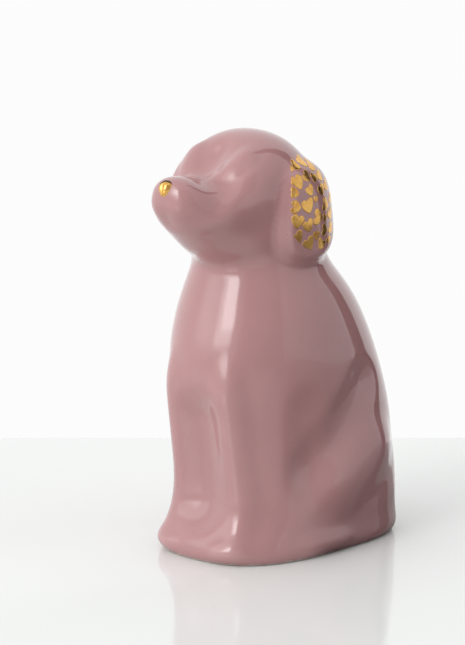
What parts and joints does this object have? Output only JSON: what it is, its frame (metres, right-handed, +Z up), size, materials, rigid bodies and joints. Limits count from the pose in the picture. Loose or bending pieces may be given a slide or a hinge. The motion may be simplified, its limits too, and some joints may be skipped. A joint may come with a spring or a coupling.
{
  "type": "animal coin bank",
  "caption": "Sitting dog coin bank: hollow glazed ceramic shell with gold heart ears, a gilded nose, a coin slot across the back and a pull-out base stopper.",
  "frame": {"origin": "middle of the whole dog's box, on the surface that it stands on", "axes": "+Z up; the dog looks along -Y; its left side is +X"},
  "size_m": [0.084, 0.1258, 0.1816],
  "materials": {
    "glaze": "glossy mauve-pink glaze over white earthenware",
    "gold_lustre": "polished gold lustre",
    "soft_vinyl": "soft milky vinyl",
    "cap_vinyl": "soft milky vinyl"
  },
  "bodies": {
    "shell": {"ceramic_body": "glaze", "left_ear_hearts": "gold_lustre", "right_ear_hearts": "gold_lustre", "nose_gilding": "gold_lustre", "stopper_collar": "soft_vinyl"},
    "stopper": {"stopper_cap": "cap_vinyl"}
  },
  "joints": [
    {"name": "stopper_pull", "type": "slide", "parent": "shell", "child": "stopper", "axis": [0, 0, -1], "range_m": [0, 0.02]}
  ]
}
